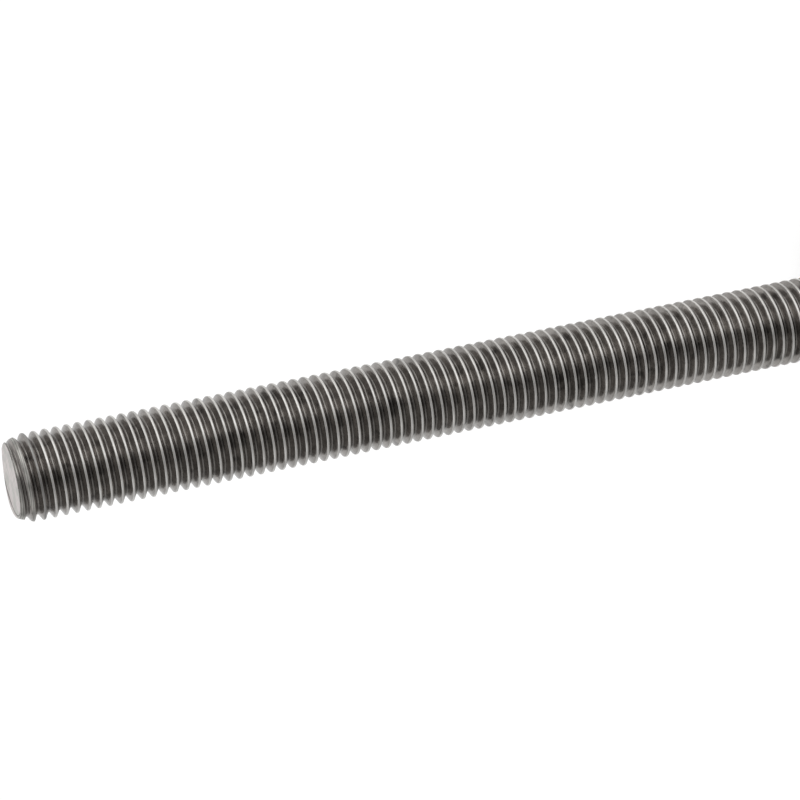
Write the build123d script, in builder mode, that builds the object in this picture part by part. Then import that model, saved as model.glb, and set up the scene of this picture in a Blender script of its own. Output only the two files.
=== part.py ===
"""Threaded rod: a steel bar with a right-hand screw thread over its whole length.

Millimetres, +Z up. The rod's axis is Z, and its lower end face lies on Z = 0.
"""

import os
from itertools import pairwise
from math import ceil, radians, tan

from build123d import *

# Driving dimensions
major_diameter = 15.8
pitch = 2.0
rod_length = 160.0

# Each end is chamfered by this much off the radius, on a cone that leans from the axis by this angle
end_chamfer = 1.1
chamfer_angle = 30.0

# Metric thread form: depth and crest are shares of the pitch, and a flank leans from square to the axis
depth_per_pitch = 0.6134
crest_per_pitch = 1 / 8
flank_angle = 30.0

# The blank that trims the ends stands clear of the crests by this much
blank_clearance = 0.5

# Sizes of one turn
crest_radius = major_diameter / 2
thread_depth = depth_per_pitch * pitch
root_radius = crest_radius - thread_depth
crest_width = crest_per_pitch * pitch
flank_width = thread_depth * tan(radians(flank_angle))
root_width = pitch - crest_width - 2 * flank_width

# One turn's outline in a plane through the axis, as (radius, height), from one crest to the next
turn_outline = [
    (crest_radius, 0),
    (crest_radius, crest_width),
    (root_radius, crest_width + flank_width),
    (root_radius, crest_width + flank_width + root_width),
    (crest_radius, pitch),
]

# The thread is made longer than the rod by spare turns at each end, which the blank trims off
spare_turns = 2
turns = ceil(rod_length / pitch) + 2 * spare_turns
thread_start = -spare_turns * pitch


def turn_edge(radius, height):
    """One right-hand turn of a helix about the axis, from the XZ plane round to it again."""
    with BuildLine() as line:
        Helix(pitch=pitch, height=pitch, radius=radius, center=(0, 0, height))
    return line.edge()


def one_turn():
    """The crest, the two flanks and the root of one turn, each ruled between two helices."""
    edges = [turn_edge(radius, height) for radius, height in turn_outline]
    return [Face.make_surface_from_curves(lower, upper) for lower, upper in pairwise(edges)]


def closing_faces(height):
    """What closes the thread at one end: a helicoid out to the crest, and the turn's section."""
    with BuildLine() as axis_line:
        Line((0, 0, height), (0, 0, height + pitch))
    helicoid = Face.make_surface_from_curves(axis_line.edge(), turn_edge(crest_radius, height))
    with BuildSketch(Plane.XZ) as section:
        with BuildLine():
            Polyline(
                (0, height),
                *[(radius, height + rise) for radius, rise in turn_outline],
                (0, height + pitch),
                close=True,
            )
        make_face()
    return [helicoid, section.sketch.face()]


turn = one_turn()
thread_faces = [
    face.moved(Location((0, 0, thread_start + index * pitch)))
    for index in range(turns)
    for face in turn
]
thread_faces += closing_faces(thread_start)
thread_faces += closing_faces(thread_start + turns * pitch)
thread = Solid(Shell(thread_faces))

# The blank gives the rod its length, its flat ends and their chamfers
blank_radius = crest_radius + blank_clearance
end_radius = crest_radius - end_chamfer
chamfer_run = (blank_radius - end_radius) / tan(radians(chamfer_angle))

with BuildPart() as threaded_rod:
    with BuildSketch(Plane.XZ):
        with BuildLine():
            Polyline(
                (0, 0),
                (end_radius, 0),
                (blank_radius, chamfer_run),
                (blank_radius, rod_length - chamfer_run),
                (end_radius, rod_length),
                (0, rod_length),
                close=True,
            )
        make_face()
    revolve(axis=Axis.Z)
    add(thread, mode=Mode.INTERSECT)
threaded_rod.part.label = "threaded_rod"

os.makedirs("parts", exist_ok=True)
export_step(threaded_rod.part, "parts/threaded_rod.step")
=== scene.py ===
import logging
from dataclasses import dataclass
from enum import Enum
from math import atan2, cos, hypot, pi, radians, sin, tan

import bmesh
import bpy
from mathutils import Matrix, Vector


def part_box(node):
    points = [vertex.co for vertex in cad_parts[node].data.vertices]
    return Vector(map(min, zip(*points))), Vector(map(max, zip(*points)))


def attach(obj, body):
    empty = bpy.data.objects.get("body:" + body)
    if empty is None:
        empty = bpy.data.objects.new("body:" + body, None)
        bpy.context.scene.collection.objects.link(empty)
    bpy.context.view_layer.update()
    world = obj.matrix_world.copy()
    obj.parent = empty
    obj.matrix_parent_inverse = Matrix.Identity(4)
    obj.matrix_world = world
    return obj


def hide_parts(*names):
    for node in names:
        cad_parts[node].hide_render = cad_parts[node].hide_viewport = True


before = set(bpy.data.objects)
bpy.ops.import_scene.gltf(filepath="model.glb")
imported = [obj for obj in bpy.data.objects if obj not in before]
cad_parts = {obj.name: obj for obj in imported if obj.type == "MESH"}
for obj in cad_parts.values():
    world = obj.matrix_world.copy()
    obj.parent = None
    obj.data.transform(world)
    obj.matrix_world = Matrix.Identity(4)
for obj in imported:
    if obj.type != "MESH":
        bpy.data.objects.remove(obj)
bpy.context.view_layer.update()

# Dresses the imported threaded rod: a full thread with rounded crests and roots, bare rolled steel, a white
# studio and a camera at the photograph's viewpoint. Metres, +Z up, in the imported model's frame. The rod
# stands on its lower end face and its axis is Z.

Colour = tuple[float, float, float, float]
Triple = tuple[float, float, float]
Pair = tuple[float, float]
Socket = bpy.types.NodeSocket
Inputs = dict[str | int, object]

ROD_NODE = "threaded_rod"
MM = 0.001

# The spans that a noise's values mostly and almost always fill
USUAL_NOISE = (0.3, 0.7)
WIDE_NOISE = (0.2, 0.8)

# What keeps a point's place across the rod and drops its height
ACROSS = (1, 1, 0)

log = logging.getLogger("threaded_rod")


class Surface(Enum):
    """The three surfaces of the rod, in the order of its material slots."""

    ROLLED_THREAD = 0
    TURNED_CHAMFER = 1
    SAWN_END = 2


def heading(azimuth: float, rise: float = 0.0) -> Vector:
    """The unit vector at an azimuth, from +X towards +Y, and a rise above the horizon, both in degrees."""
    turn, lift = radians(azimuth), radians(rise)
    return Vector((cos(turn) * cos(lift), sin(turn) * cos(lift), sin(lift)))


class NodeSketch:
    """Adds shader nodes to one material or world and links them by name."""

    def __init__(self, owner: bpy.types.ID) -> None:
        """Starts from an empty node tree.

        Args:
            owner: The material or world whose nodes are made.
        """
        owner.use_nodes = True
        self.tree = owner.node_tree
        self.tree.nodes.clear()

    def add(self, kind: str, inputs: Inputs | None = None, **settings: object) -> bpy.types.Node:
        """Makes one node.

        Args:
            kind: The node's Blender type name.
            inputs: Socket names or numbers, each with a value or an output socket to link.
            settings: Attributes of the node itself.

        Returns:
            The new node.
        """
        node = self.tree.nodes.new(kind)
        for name, value in settings.items():
            setattr(node, name, value)
        for socket, value in (inputs or {}).items():
            if isinstance(value, Socket):
                self.tree.links.new(value, node.inputs[socket])
            else:
                node.inputs[socket].default_value = value
        return node

    def place(self) -> Socket:
        """The point's place on the object, as a socket."""
        return self.add("ShaderNodeTexCoord").outputs["Object"]

    def height(self, place: Socket) -> Socket:
        """A place's height above the lower end, as a socket."""
        return self.add("ShaderNodeSeparateXYZ", {0: place}).outputs["Z"]

    def math(self, operation: str, *values: object) -> Socket:
        """One math node's result, from numbers or sockets."""
        return self.add("ShaderNodeMath", dict(enumerate(values)), operation=operation).outputs[0]

    def vector(self, operation: str, *values: object) -> Socket:
        """One vector math node's vector, from vectors or sockets."""
        node = self.add("ShaderNodeVectorMath", dict(enumerate(values)), operation=operation)
        return node.outputs["Vector"]

    def measure(self, operation: str, *values: object) -> Socket:
        """One vector math node's number, from vectors or sockets."""
        node = self.add("ShaderNodeVectorMath", dict(enumerate(values)), operation=operation)
        return node.outputs["Value"]

    def stretch(self, vector: Socket, scale: Triple) -> Socket:
        """A vector with each of its axes scaled, as a socket."""
        return self.add("ShaderNodeMapping", {"Vector": vector, "Scale": scale}).outputs["Vector"]

    def ramp(self, value: object, low: float, high: float, to_low: float = 0, to_high: float = 1) -> Socket:
        """A smooth step of value from low to high.

        Args:
            value: The socket that is mapped.
            low: Where the step starts.
            high: Where the step ends.
            to_low: The result at and before low.
            to_high: The result at and past high.

        Returns:
            The mapped value's socket.
        """
        node = self.add(
            "ShaderNodeMapRange",
            {"Value": value, "From Min": low, "From Max": high, "To Min": to_low, "To Max": to_high},
            interpolation_type="SMOOTHSTEP",
        )
        return node.outputs["Result"]

    def mix(self, factor: object, first: object, second: object) -> Socket:
        """Mixes two colours by a factor, as a socket."""
        node = self.add("ShaderNodeMix", {"Factor": factor, "A": first, "B": second}, data_type="RGBA")
        return node.outputs["Result"]

    def shade(self, colour: Colour | Socket, factor: Socket) -> Socket:
        """A colour made lighter or darker by a factor, as a socket."""
        base = colour if isinstance(colour, Socket) else colour[:3]
        return self.add("ShaderNodeVectorMath", {0: base, "Scale": factor}, operation="SCALE").outputs[0]

    def noise(self, vector: Socket, scale: float, detail: float = 3.0, roughness: float = 0.5) -> Socket:
        """A noise texture's value.

        Args:
            vector: Where the noise is read.
            scale: How many features it has in a metre.
            detail: How many finer layers it has.
            roughness: How strong the finer layers are.

        Returns:
            The value's socket.
        """
        inputs = {"Vector": vector, "Scale": scale, "Detail": detail, "Roughness": roughness}
        return self.add("ShaderNodeTexNoise", inputs).outputs["Fac"]

    def bump(self, height: Socket, strength: float, distance: float, normal: Socket | None = None) -> Socket:
        """A surface's normal, tilted by a height.

        Args:
            height: The height, from 0 to 1.
            strength: How much of the tilt is kept.
            distance: How far a height of 1 stands up.
            normal: The normal that is tilted, where it isn't the mesh's own.

        Returns:
            The tilted normal's socket.
        """
        inputs = {"Height": height, "Strength": strength, "Distance": distance}
        if normal is not None:
            inputs["Normal"] = normal
        return self.add("ShaderNodeBump", inputs).outputs[0]

    def steel(self, colour: Socket, metallic: float, roughness: Socket, normal: Socket) -> None:
        """Ends a material with a steel surface.

        Args:
            colour: The colour of its reflection.
            metallic: The share of the surface that is bare metal.
            roughness: How far its reflections spread.
            normal: Its normal.
        """
        inputs = {"Base Color": colour, "Metallic": metallic, "Roughness": roughness, "Normal": normal}
        self.finish(self.add("ShaderNodeBsdfPrincipled", inputs).outputs[0])

    def finish(self, shader: Socket, kind: str = "ShaderNodeOutputMaterial") -> None:
        """Links the last shader to the output."""
        self.add(kind, {"Surface": shader})


@dataclass(frozen=True)
class ThreadForm:
    """The metric thread, seen in a plane through the rod's axis."""

    crest_radius: float
    pitch: float = 2.0 * MM
    depth: float = 1.16 * MM
    crest_width: float = 0.31 * MM
    flank_angle: float = radians(30)
    crest_rounding: float = 0.23 * MM
    root_rounding: float = 0.26 * MM
    arc_steps: int = 3

    @property
    def root_radius(self) -> float:
        """The radius at the bottom of the groove."""
        return self.crest_radius - self.depth

    def corners(self) -> list[Pair]:
        """The sharp corners of one turn.

        Returns:
            (height, radius) points, from the lower edge of a crest.
        """
        flank = self.depth * tan(self.flank_angle)
        return [
            (0.0, self.crest_radius),
            (self.crest_width, self.crest_radius),
            (self.crest_width + flank, self.root_radius),
            (self.pitch - flank, self.root_radius),
        ]

    def outline(self) -> list[Pair]:
        """One turn with its corners rounded and a point in the middle of each flank.

        Returns:
            (height, radius) points, rising by one pitch before they repeat.
        """
        corners = self.corners()
        count = len(corners)
        roundings = [self.crest_rounding, self.crest_rounding, self.root_rounding, self.root_rounding]
        points: list[Pair] = []
        for index, corner in enumerate(corners):
            before = corners[index - 1] if index else (corners[-1][0] - self.pitch, corners[-1][1])
            after = corners[index + 1] if index + 1 < count else (corners[0][0] + self.pitch, corners[0][1])
            arc = self.rounded_corner(before, corner, after, roundings[index])
            if corner[1] != before[1]:
                points.append(((arc[0][0] + before[0]) / 2, (arc[0][1] + before[1]) / 2))
            points.extend(arc)
        return points

    def rounded_corner(self, before: Pair, corner: Pair, after: Pair, radius: float) -> list[Pair]:
        """An arc that rounds the corner between two straight lines.

        Args:
            before: The corner before this one.
            corner: The corner to round.
            after: The corner after this one.
            radius: The arc's radius.

        Returns:
            The arc's points, from the line that arrives to the line that leaves.
        """
        here = Vector(corner)
        arriving = (here - Vector(before)).normalized()
        leaving = (Vector(after) - here).normalized()
        turn = arriving.angle_signed(leaving)
        setback = radius * tan(abs(turn) / 2)
        start = here - arriving * setback
        inward = Vector((-arriving.y, arriving.x)) * (-1 if turn > 0 else 1)
        centre = start + inward * radius
        arm = start - centre
        points = []
        for step in range(self.arc_steps + 1):
            swing = -turn * step / self.arc_steps
            along = centre.x + arm.x * cos(swing) - arm.y * sin(swing)
            out = centre.y + arm.x * sin(swing) + arm.y * cos(swing)
            points.append((along, out))
        return points


@dataclass(frozen=True)
class RolledSteel:
    """Thread rolled in plain steel: pale worn crests, and dull flanks with painted shade that darkens them
    towards the root.
    """

    crest_colour: Colour = (0.765, 0.75, 0.725, 1)
    crest_depth: float = 0.145 * MM
    crest_full: float = 0.3
    crest_wander: float = 0.1 * MM
    crest_shades: Pair = (0.82, 1.08)
    crest_roughness: float = 0.34
    dull_shade: float = 0.48
    dull_reach: float = 4.4 * MM
    bright_reach: float = 5.5 * MM

    flank_colour: Colour = (0.305, 0.287, 0.27, 1)
    flank_roughness: float = 0.15
    # How dark the painted shade at the groove's root is, and how far up the flanks it reaches
    painted_root_shade: float = 0.72
    root_reach: float = 0.24 * MM
    film_shades: Pair = (0.88, 1.1)
    stain_span: Pair = (0.3, 0.42)
    stain_shades: Pair = (0.6, 1.0)
    grain_span: Pair = (0.34, 0.66)
    grain_shades: Pair = (0.74, 1.22)
    streak_share: float = 0.55
    roughness_spread: Pair = (-0.05, 0.1)

    speck_scale: float = 700.0
    blotch_scale: float = 240.0
    stain_scale: float = 330.0
    streak_scale: Triple = (14000.0, 260.0, 1.0)
    bump_strength: float = 0.35
    dent_height: float = 0.03 * MM
    streak_height: float = 0.02 * MM

    def material(self, form: ThreadForm, length: float) -> bpy.types.Material:
        """Builds the shader, whose crests are duller in the first turns at each end.

        Args:
            form: The thread whose crest and root radii place the colours.
            length: The rod's length.

        Returns:
            The material.
        """
        made = bpy.data.materials.new("rolled_steel")
        draw = NodeSketch(made)
        place = draw.place()
        strip = draw.add("ShaderNodeUVMap", uv_map=ThreadedRod.strip_name).outputs["UV"]
        radius = draw.measure("LENGTH", draw.vector("MULTIPLY", place, ACROSS))
        speck = draw.noise(place, self.speck_scale, 4.0, 0.6)
        blotch = draw.noise(place, self.blotch_scale)
        stain = draw.noise(place, self.stain_scale, 2.0)
        streak = draw.noise(draw.stretch(strip, self.streak_scale), 1.0)

        wander = draw.math("MULTIPLY", draw.math("SUBTRACT", speck, 0.5), self.crest_wander)
        top = form.crest_radius
        worn_radius = draw.math("ADD", radius, wander)
        crest = draw.ramp(worn_radius, top - self.crest_depth, top - self.crest_full * self.crest_depth)
        inward = draw.height(place)
        inward = draw.math("MINIMUM", inward, draw.math("SUBTRACT", length, inward))
        burnish = draw.ramp(inward, self.dull_reach, self.bright_reach, self.dull_shade, 1.0)
        crest_shade = draw.math("MULTIPLY", draw.ramp(blotch, *USUAL_NOISE, *self.crest_shades), burnish)
        crest_colour = draw.shade(self.crest_colour, crest_shade)

        mottle = draw.ramp(blotch, *USUAL_NOISE, *self.film_shades)
        film = draw.math("MULTIPLY", mottle, draw.ramp(stain, *self.stain_span, *self.stain_shades))
        streak_part = draw.math("MULTIPLY", streak, self.streak_share)
        grain = draw.math("ADD", streak_part, draw.math("MULTIPLY", speck, 1 - self.streak_share))
        rolled = draw.math("MULTIPLY", draw.ramp(grain, *self.grain_span, *self.grain_shades), film)
        # Painted shade: the flanks darken towards the groove's root
        root = draw.ramp(radius, form.root_radius, form.root_radius + self.root_reach, self.painted_root_shade, 1.0)
        flank_colour = draw.shade(self.flank_colour, draw.math("MULTIPLY", rolled, root))

        base_rough = draw.ramp(crest, 0, 1, self.flank_roughness, self.crest_roughness)
        rough = draw.math("ADD", base_rough, draw.ramp(speck, *USUAL_NOISE, *self.roughness_spread))
        dents = draw.bump(speck, self.bump_strength, self.dent_height)
        streaks = draw.bump(streak, self.bump_strength, self.streak_height, dents)
        draw.steel(draw.mix(crest, flank_colour, crest_colour), 1.0, rough, streaks)
        return made


@dataclass(frozen=True)
class TurnedSteel:
    """The chamfer, turned with a tool that leaves fine dark rings."""

    colour: Colour = (0.43, 0.42, 0.395, 1)
    ring_spacing: float = 0.34 * MM
    ring_drift: float = 1.2
    ring_span: Pair = (0.45, 0.95)
    ring_shade: float = 0.36
    ring_depth: float = 0.03 * MM
    ring_strength: float = 0.5
    patch_scale: float = 500.0
    patch_shades: Pair = (0.75, 1.15)
    roughness: Pair = (0.28, 0.42)

    def material(self) -> bpy.types.Material:
        """Builds the shader, whose rings follow the height along the rod.

        Returns:
            The material.
        """
        made = bpy.data.materials.new("turned_steel")
        draw = NodeSketch(made)
        place = draw.place()
        patch = draw.noise(place, self.patch_scale, 4.0)
        turns = draw.math("MULTIPLY", draw.height(place), 2 * pi / self.ring_spacing)
        wave = draw.math("SINE", draw.math("ADD", turns, draw.math("MULTIPLY", patch, self.ring_drift)))
        rings = draw.ramp(wave, *self.ring_span, 1.0, self.ring_shade)
        shade = draw.math("MULTIPLY", rings, draw.ramp(patch, *USUAL_NOISE, *self.patch_shades))
        rough = draw.ramp(patch, *WIDE_NOISE, *self.roughness)
        cuts = draw.bump(rings, self.ring_strength, self.ring_depth)
        draw.steel(draw.shade(self.colour, shade), 1.0, rough, cuts)
        return made


@dataclass(frozen=True)
class SawnSteel:
    """The cut end: pale and nearly matt, with saw lines, smears and the step where the saw broke through,
    whose thin dark line is painted shade.
    """

    colour: Colour = (0.665, 0.618, 0.605, 1)
    smear_colour: Colour = (0.56, 0.55, 0.525, 1)
    smear_scale: float = 330.0
    smear_span: Pair = (0.42, 0.58)
    metallic: float = 0.75
    roughness: Pair = (0.42, 0.58)

    line_scale: float = 300.0
    line_stretch: float = 9.0
    line_shades: Pair = (0.93, 1.06)
    line_depth: float = 0.03 * MM
    line_strength: float = 0.3

    step_turn: float = 222.0
    step_offset: float = 0.75 * MM
    step_radius: float = 7.07 * MM
    step_width: float = 0.16 * MM
    step_core: float = 0.35
    step_waviness: float = 0.25 * MM
    # How dark the painted shade line along the step is
    step_painted_shade: float = 0.35
    step_height: float = 0.1 * MM
    step_strength: float = 0.6

    def material(self) -> bpy.types.Material:
        """Builds the shader, whose saw lines run across the face along X.

        Returns:
            The material.
        """
        made = bpy.data.materials.new("sawn_steel")
        draw = NodeSketch(made)
        place = draw.place()
        lines = draw.noise(draw.stretch(place, (1.0, self.line_stretch, 1.0)), self.line_scale, 4.0)
        smear = draw.noise(place, self.smear_scale, 4.0, 0.6)

        centre = heading(self.step_turn) * -self.step_offset
        reach = draw.measure("DISTANCE", draw.vector("MULTIPLY", place, ACROSS), centre)
        wavy = draw.math("ADD", reach, draw.math("MULTIPLY", smear, self.step_waviness))
        away = draw.math("ABSOLUTE", draw.math("SUBTRACT", wavy, self.step_radius))
        # Painted shade: a thin dark line along the step, beside the step's real ledge in the bump below
        step = draw.ramp(away, self.step_core * self.step_width, self.step_width, self.step_painted_shade, 1.0)
        half = self.step_width / 2
        ledge = draw.ramp(wavy, self.step_radius - half, self.step_radius + half, 1.0, 0.0)

        shade = draw.math("MULTIPLY", draw.ramp(lines, *USUAL_NOISE, *self.line_shades), step)
        tint = draw.mix(draw.ramp(smear, *self.smear_span), self.colour, self.smear_colour)
        rough = draw.ramp(smear, *WIDE_NOISE, *self.roughness)
        scratches = draw.bump(lines, self.line_strength, self.line_depth)
        relief = draw.bump(ledge, self.step_strength, self.step_height, scratches)
        draw.steel(draw.shade(tint, shade), self.metallic, rough, relief)
        return made


@dataclass
class ThreadedRod:
    """The rod with its whole thread as a mesh, cut flat and chamfered at both ends."""

    length: float
    form: ThreadForm
    end_chamfer: float = 1.1 * MM
    chamfer_angle: float = radians(22)
    rim_bevel: float = 0.13 * MM
    edge_softness: float = 0.06 * MM
    burr_turn: float = radians(205)
    burr_spread: float = radians(75)
    burr_height: float = 0.3 * MM
    burr_width: float = 0.42 * MM
    steps_per_turn: int = 64
    spare_turns: int = 2
    weld: float = 1e-8
    name: str = "rod_thread"
    strip_name: str = "thread_strip"

    @classmethod
    def from_node(cls, node: str) -> "ThreadedRod":
        """Takes the rod's length and crest radius from its CAD node.

        Args:
            node: The CAD node's name.

        Returns:
            The rod, not yet built.
        """
        low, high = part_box(node)
        return cls(length=high.z - low.z, form=ThreadForm(crest_radius=(high.y - low.y) / 2))

    @property
    def end_radius(self) -> float:
        """The radius of the flat end face."""
        return self.form.crest_radius - self.end_chamfer

    def cone_radius(self, height: float) -> float:
        """The radius of the nearer end's chamfer cone at a height."""
        return self.end_radius + tan(self.chamfer_angle) * min(height, self.length - height)

    def chamfered(self, radius: float, height: float) -> float:
        """Cuts a point back to the end's chamfer, with a slightly worn edge.

        Args:
            radius: The point's radius on the full thread.
            height: The point's height.

        Returns:
            The radius that is left.
        """
        limit = self.cone_radius(height)
        gap = (radius - limit) / self.edge_softness
        if abs(gap) >= 1:
            return min(radius, limit)
        return min(radius, limit) - self.edge_softness * (1 - abs(gap)) ** 2 / 4

    def burr(self, angle: float) -> float:
        """The height of the lip that the saw left along one side of the upper end.

        Args:
            angle: The direction round the rod.

        Returns:
            The lip's height there.
        """
        turn = (angle - self.burr_turn + pi) % (2 * pi) - pi
        share = max(0.0, 1 - abs(turn) / self.burr_spread)
        return self.burr_height * share * share * (3 - 2 * share)

    def strip_points(self, outline: list[Pair], rows: int) -> list[Triple]:
        """The points of the thread's surface, one row across the strip after another.

        Args:
            outline: One turn's (height, radius) points.
            rows: How many steps the strip takes round the rod.

        Returns:
            The points.
        """
        start = -self.spare_turns * self.form.pitch
        points = []
        for row in range(rows + 1):
            angle = 2 * pi * row / self.steps_per_turn
            lift = start + self.form.pitch * row / self.steps_per_turn
            for rise, radius in outline:
                height = lift + rise
                reach = self.chamfered(radius, height)
                points.append((reach * cos(angle), reach * sin(angle), height))
        return points

    def grid(self) -> tuple[list[Triple], list[tuple[int, ...]], list[tuple[Pair, ...]]]:
        """The thread's surface as a long helical strip, wound so that each turn meets the next.

        Returns:
            Vertices, faces, and for each face's corners their place across and along the strip.
        """
        outline = self.form.outline()
        across = [0.0]
        next_turn = (outline[0][0] + self.form.pitch, outline[0][1])
        for (z0, r0), (z1, r1) in zip(outline, outline[1:] + [next_turn]):
            across.append(across[-1] + hypot(z1 - z0, r1 - r0))
        columns = len(outline)
        rows = (round(self.length / self.form.pitch) + 2 * self.spare_turns) * self.steps_per_turn
        along_step = 2 * pi * self.form.crest_radius / self.steps_per_turn
        vertices = self.strip_points(outline, rows)
        faces, places = [], []
        for row in range(rows):
            start, end = row * along_step, (row + 1) * along_step
            for column in range(columns):
                near = row * columns + column
                beyond = near + 1 if column + 1 < columns else (row + self.steps_per_turn) * columns
                if beyond + columns >= len(vertices):
                    continue
                left, right = across[column], across[column + 1]
                faces.append((near, near + columns, beyond + columns, beyond))
                places.append(((left, start), (left, end), (right, end), (right, start)))
        return vertices, faces, places

    def slice_across(self, bm: bmesh.types.BMesh, height: float, outward: float, clear: bool) -> list:
        """Cuts the mesh with a level plane.

        Args:
            bm: The mesh to cut.
            height: The plane's height.
            outward: 1 where the outside is above the plane and -1 where it is below.
            clear: Whether the outside is taken away.

        Returns:
            The vertices and edges on the plane.
        """
        cut = bmesh.ops.bisect_plane(
            bm,
            geom=bm.verts[:] + bm.edges[:] + bm.faces[:],
            dist=self.weld,
            plane_co=(0, 0, height),
            plane_no=(0, 0, outward),
            clear_outer=clear,
        )
        return cut["geom_cut"]

    def cut_end(self, bm: bmesh.types.BMesh, height: float, outward: float) -> None:
        """Cuts the strip off flat and closes the end with a face that has a small worn rim.

        Args:
            bm: The mesh to cut.
            height: The height of the end face.
            outward: 1 for the upper end and -1 for the lower end.
        """
        cut = self.slice_across(bm, height, outward, clear=True)
        rim = [part for part in cut if isinstance(part, bmesh.types.BMEdge)]
        self.slice_across(bm, height - outward * self.rim_bevel, outward, clear=False)
        rim_verts = {vert for edge in rim for vert in edge.verts}
        for vert in rim_verts:
            shrink = 1 - self.rim_bevel / hypot(vert.co.x, vert.co.y)
            vert.co.x *= shrink
            vert.co.y *= shrink
        cap = bmesh.ops.edgeloop_fill(bm, edges=rim)["faces"]
        inset = bmesh.ops.inset_individual(bm, faces=cap, thickness=self.burr_width, use_even_offset=True)
        if outward > 0:
            for vert in rim_verts:
                vert.co.z += self.burr(atan2(vert.co.y, vert.co.x))
        for face in cap + inset["faces"]:
            face.normal_update()
            if face.normal.z * outward < 0:
                face.normal_flip()
            face.material_index = Surface.SAWN_END.value

    def mesh(self) -> bpy.types.Mesh:
        """Builds the whole mesh with its strip coordinates and its surfaces' slots.

        Returns:
            The mesh.
        """
        vertices, faces, places = self.grid()
        made = bpy.data.meshes.new(self.name)
        made.from_pydata(vertices, [], faces)
        strip = made.uv_layers.new(name=self.strip_name)
        strip.data.foreach_set("uv", [value for face in places for corner in face for value in corner])
        bm = bmesh.new()
        bm.from_mesh(made)
        self.cut_end(bm, 0.0, -1.0)
        self.cut_end(bm, self.length, 1.0)
        for face in bm.faces:
            if face.material_index == Surface.SAWN_END.value:
                continue
            centre = face.calc_center_median()
            if hypot(centre.x, centre.y) > self.cone_radius(centre.z) - self.edge_softness:
                face.material_index = Surface.TURNED_CHAMFER.value
            face.smooth = True
        bm.to_mesh(made)
        bm.free()
        return made

    def dress(self, mesh: bpy.types.Mesh) -> None:
        """Gives the mesh its three finishes, in the order of its slots.

        Args:
            mesh: The rod's mesh.
        """
        finishes = {
            Surface.ROLLED_THREAD: RolledSteel().material(self.form, self.length),
            Surface.TURNED_CHAMFER: TurnedSteel().material(),
            Surface.SAWN_END: SawnSteel().material(),
        }
        for surface in Surface:
            mesh.materials.append(finishes[surface])

    def build(self) -> bpy.types.Object:
        """Makes the rod's object, dresses it and lets it stand for the CAD node.

        Returns:
            The rod's object.
        """
        rod = bpy.data.objects.new(self.name, self.mesh())
        bpy.context.scene.collection.objects.link(rod)
        self.dress(rod.data)
        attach(rod, "root")
        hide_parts(ROD_NODE)
        return rod


@dataclass(frozen=True)
class SoftLamp:
    """One square soft lamp, hung at an angle from the studio's front."""

    name: str
    turn: float
    rise: float
    power: float
    size: float = 0.5
    distance: float = 0.9

    def build(self, front: float, aim: Vector) -> bpy.types.Object:
        """Hangs the lamp.

        Args:
            front: The azimuth of the studio's front, in degrees.
            aim: The point that the lamp faces.

        Returns:
            The lamp's object.
        """
        data = bpy.data.lights.new(self.name, "AREA")
        data.shape = "SQUARE"
        data.size = self.size
        data.energy = self.power
        lamp = bpy.data.objects.new(self.name, data)
        bpy.context.scene.collection.objects.link(lamp)
        away = heading(front + self.turn, self.rise)
        lamp.location = aim + away * self.distance
        lamp.rotation_mode = "QUATERNION"
        lamp.rotation_quaternion = away.to_track_quat("Z", "Y")
        return lamp


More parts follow.
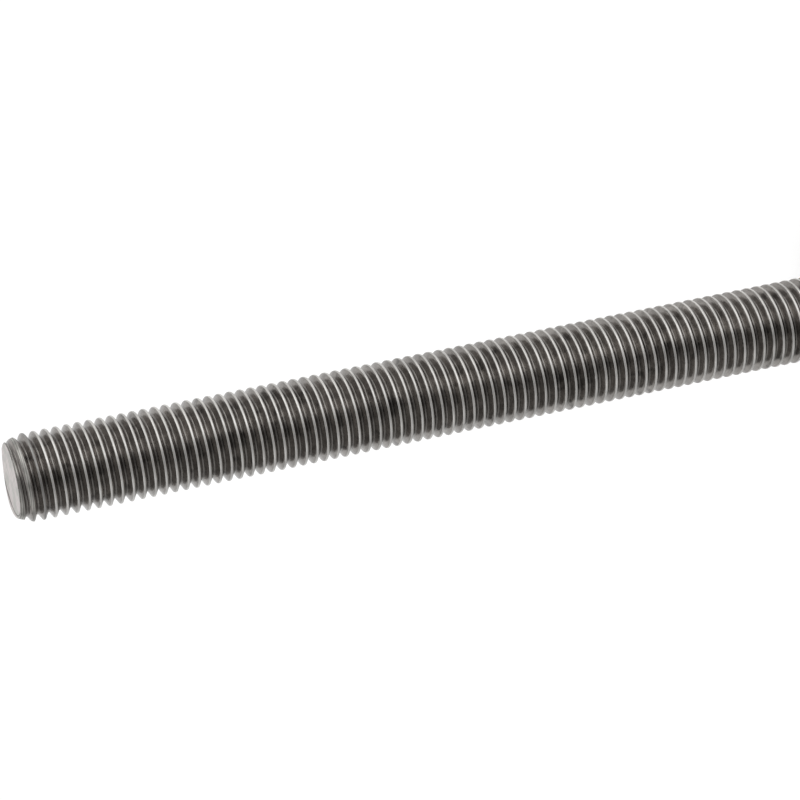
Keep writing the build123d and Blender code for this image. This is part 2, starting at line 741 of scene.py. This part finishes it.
@dataclass(frozen=True)
class Studio:
    """A white floor under a white sky, with two soft lamps and a darker side that only the metal shows.

    Turns are in degrees from the front and spans are of the cosine of the angle from a direction.
    """

    front: float
    sky_level: float = 1.09
    left_level: float = 0.73
    right_level: float = 0.48
    side_span: Pair = (-0.35, 0.25)
    dark_turn: float = -16.0
    dark_span: Pair = (0.77, 0.97)
    dark_share: float = 0.25
    beside_span: Pair = (-0.6, -0.2)
    beside_share: float = 0.7
    behind_span: Pair = (-0.65, -0.1)
    behind_level: float = 0.8
    key_turn: float = 31.0
    key_rise: float = -5.0
    key_span: Pair = (0.9, 0.98)
    key_level: float = 1.0

    floor_radius: float = 6.0
    floor_sides: int = 96
    floor_colour: Colour = (0.97, 0.97, 0.97, 1)
    floor_grain: float = 30.0
    floor_roughness: Pair = (0.85, 0.95)

    lamps: tuple[SoftLamp, ...] = (
        SoftLamp("lamp_left", turn=75.0, rise=35.0, power=0.8),
        SoftLamp("lamp_right", turn=-95.0, rise=40.0, power=0.4),
    )

    def reflected(self, draw: NodeSketch) -> Socket:
        """The level that the metal reflects from each direction.

        Args:
            draw: The world's nodes.

        Returns:
            The level's socket.
        """
        direction = draw.add("ShaderNodeTexCoord").outputs["Generated"]
        facing = draw.measure("DOT_PRODUCT", direction, heading(self.front + self.dark_turn))
        leftward = draw.measure("DOT_PRODUCT", direction, heading(self.front + 90))
        to_key = heading(self.front + self.key_turn, self.key_rise)
        sides = draw.ramp(leftward, *self.side_span, self.right_level, self.left_level)
        front = draw.math("MULTIPLY", sides, draw.ramp(facing, *self.dark_span, 1.0, self.dark_share))
        beside = draw.math("MULTIPLY", front, draw.ramp(facing, *self.beside_span, self.beside_share, 1.0))
        behind = draw.ramp(facing, *self.behind_span, self.behind_level, 0.0)
        key = draw.ramp(draw.measure("DOT_PRODUCT", direction, to_key), *self.key_span, 0.0, self.key_level)
        return draw.math("ADD", draw.math("MAXIMUM", beside, behind), key)

    def sky(self) -> bpy.types.World:
        """Lights everything evenly, shows white behind the rod and gives the metal a darker side to reflect.

        Returns:
            The world.
        """
        world = bpy.data.worlds.new("studio")
        bpy.context.scene.world = world
        draw = NodeSketch(world)
        rays = draw.add("ShaderNodeLightPath").outputs
        lit = draw.ramp(rays["Is Camera Ray"], 0, 1, self.sky_level, 1.0)
        levels = {"Factor": rays["Is Glossy Ray"], "A": lit, "B": self.reflected(draw)}
        level = draw.add("ShaderNodeMix", levels).outputs["Result"]
        light = draw.add("ShaderNodeBackground", {"Color": (1, 1, 1, 1), "Strength": level})
        draw.finish(light.outputs[0], "ShaderNodeOutputWorld")
        return world

    def floor_paint(self) -> bpy.types.Material:
        """Matt white that takes the rod's shadow and lets the rod's reflections through to the sky.

        Returns:
            The material.
        """
        paint = bpy.data.materials.new("floor_paint")
        draw = NodeSketch(paint)
        rough = draw.ramp(draw.noise(draw.place(), self.floor_grain), *USUAL_NOISE, *self.floor_roughness)
        matt = draw.add("ShaderNodeBsdfPrincipled", {"Base Color": self.floor_colour, "Roughness": rough})
        clear = draw.add("ShaderNodeBsdfTransparent")
        glossy = draw.add("ShaderNodeLightPath").outputs["Is Glossy Ray"]
        both = draw.add("ShaderNodeMixShader", {0: glossy, 1: matt.outputs[0], 2: clear.outputs[0]})
        draw.finish(both.outputs[0])
        return paint

    def floor(self) -> bpy.types.Object:
        """A round white floor that the rod stands on.

        Returns:
            The floor's object.
        """
        bm = bmesh.new()
        bmesh.ops.create_circle(bm, cap_ends=True, segments=self.floor_sides, radius=self.floor_radius)
        mesh = bpy.data.meshes.new("floor")
        bm.to_mesh(mesh)
        bm.free()
        floor = bpy.data.objects.new("floor", mesh)
        bpy.context.scene.collection.objects.link(floor)
        mesh.materials.append(self.floor_paint())
        return floor

    def build(self, aim: Vector) -> None:
        """Makes the sky, the floor and the lamps round the rod.

        Args:
            aim: The point that the lamps face.
        """
        self.sky()
        self.floor()
        for lamp in self.lamps:
            lamp.build(self.front, aim)


@dataclass(frozen=True)
class PhotoCamera:
    """The photograph's viewpoint, recovered from the rod's converging edges and the spacing of its crests."""

    frame_pixels: float = 800.0
    focal_pixels: float = 2923.2
    distance: float = 512.6 * MM
    height: float = 234.2 * MM
    azimuth: float = -14.1
    aim_height: float = 87.43 * MM
    aim_aside: float = 0.238 * MM
    roll: float = -101.55
    clip: Pair = (0.01, 50.0)

    def build(self) -> bpy.types.Object:
        """Makes the camera and gives it to the scene.

        Returns:
            The camera's object.
        """
        data = bpy.data.cameras.new("photo_camera")
        data.lens = data.sensor_width * self.focal_pixels / self.frame_pixels
        data.clip_start, data.clip_end = self.clip
        camera = bpy.data.objects.new("photo_camera", data)
        bpy.context.scene.collection.objects.link(camera)
        outward = heading(self.azimuth)
        sideways = Vector((-outward.y, outward.x, 0))
        location = outward * self.distance + Vector((0, 0, self.height))
        aim = sideways * self.aim_aside + Vector((0, 0, self.aim_height))
        level = (aim - location).normalized().to_track_quat("-Z", "Y").to_matrix().to_4x4()
        spin = Matrix.Rotation(radians(self.roll), 4, "Z")
        camera.matrix_world = Matrix.Translation(location) @ level @ spin
        bpy.context.scene.camera = camera
        return camera


def main() -> None:
    """Builds the rod, the studio and the camera."""
    logging.basicConfig(level=logging.INFO, format="%(name)s: %(message)s")
    bpy.context.scene.view_settings.view_transform = "Standard"
    rod = ThreadedRod.from_node(ROD_NODE)
    piece = rod.build()
    log.info("%s: %d faces, %.1f mm long", piece.name, len(piece.data.polygons), rod.length / MM)
    view = PhotoCamera()
    Studio(front=view.azimuth).build(Vector((0, 0, rod.length / 2)))
    log.info("studio: floor, sky and lamps")
    camera = view.build()
    log.info("%s: lens %.1f mm", camera.name, camera.data.lens)


if __name__ == "__main__":
    main()
